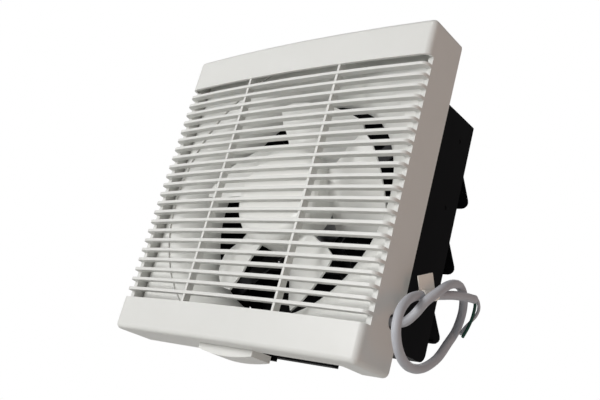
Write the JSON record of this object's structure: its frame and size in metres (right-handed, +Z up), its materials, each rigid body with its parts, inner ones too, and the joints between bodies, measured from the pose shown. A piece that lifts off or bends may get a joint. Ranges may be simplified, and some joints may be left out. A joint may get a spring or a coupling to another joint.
{
  "type": "window exhaust fan",
  "caption": "Square window exhaust fan: louvred white cover, bell-mouthed orifice plate, impeller on a bracket motor and a black wall box with linked shutter flaps.",
  "frame": {"origin": "centre of the wall plane: the plane of the flange's rear face, on the fan's axis", "axes": "+X right as seen from the room, +Y through the wall to the outside along the fan's axis, +Z up"},
  "size_m": [0.3312, 0.1725, 0.3085],
  "materials": {
    "white_abs": "satin moulded",
    "white_fan": "semi-gloss moulded",
    "black_plastic": "satin moulded",
    "black_rubber": "matt",
    "black_steel": "satin enamel",
    "zinc_steel": "bright zinc plate",
    "laminated_steel": "bare stamped edge",
    "copper": "varnished wire",
    "brass": "turned",
    "grey_pvc": "satin",
    "green_pvc": "satin",
    "label": "matt film"
  },
  "bodies": {
    "housing": {"housing": "black_plastic", "orifice_frame": "white_abs", "frame_screw_1": "zinc_steel", "frame_screw_2": "zinc_steel", "frame_screw_3": "zinc_steel", "frame_screw_4": "zinc_steel", "motor_bracket": "black_steel", "motor_front_shell": "zinc_steel", "motor_rear_shell": "zinc_steel", "stator_core": "laminated_steel", "winding_front": "copper", "winding_rear": "copper", "front_bearing": "zinc_steel", "rear_bearing": "zinc_steel", "bracket_screw_1": "zinc_steel", "bracket_screw_2": "zinc_steel", "bracket_screw_3": "zinc_steel", "bracket_screw_4": "zinc_steel", "motor_bolt_1": "zinc_steel", "motor_bolt_2": "zinc_steel", "motor_bolt_3": "zinc_steel", "motor_bolt_4": "zinc_steel", "terminal_box": "black_plastic", "terminal_lid": "black_plastic", "terminal_block": "white_fan", "cord_clamp": "zinc_steel", "lid_screw": "zinc_steel", "clamp_screw_1": "zinc_steel", "clamp_screw_2": "zinc_steel", "capacitor": "white_fan", "capacitor_clip": "zinc_steel", "clip_screw": "zinc_steel", "motor_lead": "black_plastic", "capacitor_lead": "black_plastic", "cord_grommet": "black_rubber", "inlet_sheath": "grey_pvc", "power_cord": "grey_pvc", "green_core": "green_pvc", "grey_core": "grey_pvc", "cord_tag": "label"},
    "fan": {"impeller": "white_fan", "hub_bush": "brass", "shaft": "zinc_steel", "drive_pin": "zinc_steel", "hub_clip": "zinc_steel", "rotor": "laminated_steel"},
    "grille": {"front_grille": "white_abs"},
    "tab": {"release_tab": "white_abs"},
    "flap_top": {"flap_top": "black_plastic"},
    "flap_middle": {"flap_middle": "black_plastic"},
    "flap_bottom": {"flap_bottom": "black_plastic"},
    "link": {"shutter_link": "black_plastic"}
  },
  "joints": [
    {"name": "fan_spin", "type": "hinge", "parent": "housing", "child": "fan", "pos_m": [0, 0, 0], "axis": [0, -1, 0], "continuous": true},
    {"name": "grille_swing", "type": "hinge", "parent": "housing", "child": "grille", "pos_m": [0, -0.0006, 0.147], "axis": [-1, 0, 0], "range_deg": [0, 35]},
    {"name": "tab_release", "type": "hinge", "parent": "grille", "child": "tab", "pos_m": [0, -0.0332, -0.145], "axis": [-1, 0, 0], "range_deg": [0, 7], "stiffness_Nm_per_rad": 0.05, "springref_deg": -6.88},
    {"name": "flap_top_swing", "type": "hinge", "parent": "housing", "child": "flap_top", "pos_m": [0, 0.0745, 0.094], "axis": [1, 0, 0], "range_deg": [-40, 35]},
    {"name": "flap_middle_swing", "type": "hinge", "parent": "housing", "child": "flap_middle", "pos_m": [0, 0.0745, 0.0257], "axis": [1, 0, 0], "range_deg": [-40, 35]},
    {"name": "flap_bottom_swing", "type": "hinge", "parent": "housing", "child": "flap_bottom", "pos_m": [0, 0.0745, -0.0426], "axis": [1, 0, 0], "range_deg": [-40, 35]},
    {"name": "link_pivot", "type": "hinge", "parent": "flap_top", "child": "link", "pos_m": [-0.1035, 0.08302, 0.0746], "axis": [1, 0, 0], "range_deg": [-35, 40]}
  ],
  "couplings": [
    {"joint": "flap_middle_swing", "follows": "flap_top_swing", "ratio": 1},
    {"joint": "flap_bottom_swing", "follows": "flap_top_swing", "ratio": 1},
    {"joint": "link_pivot", "follows": "flap_top_swing", "ratio": -1}
  ]
}
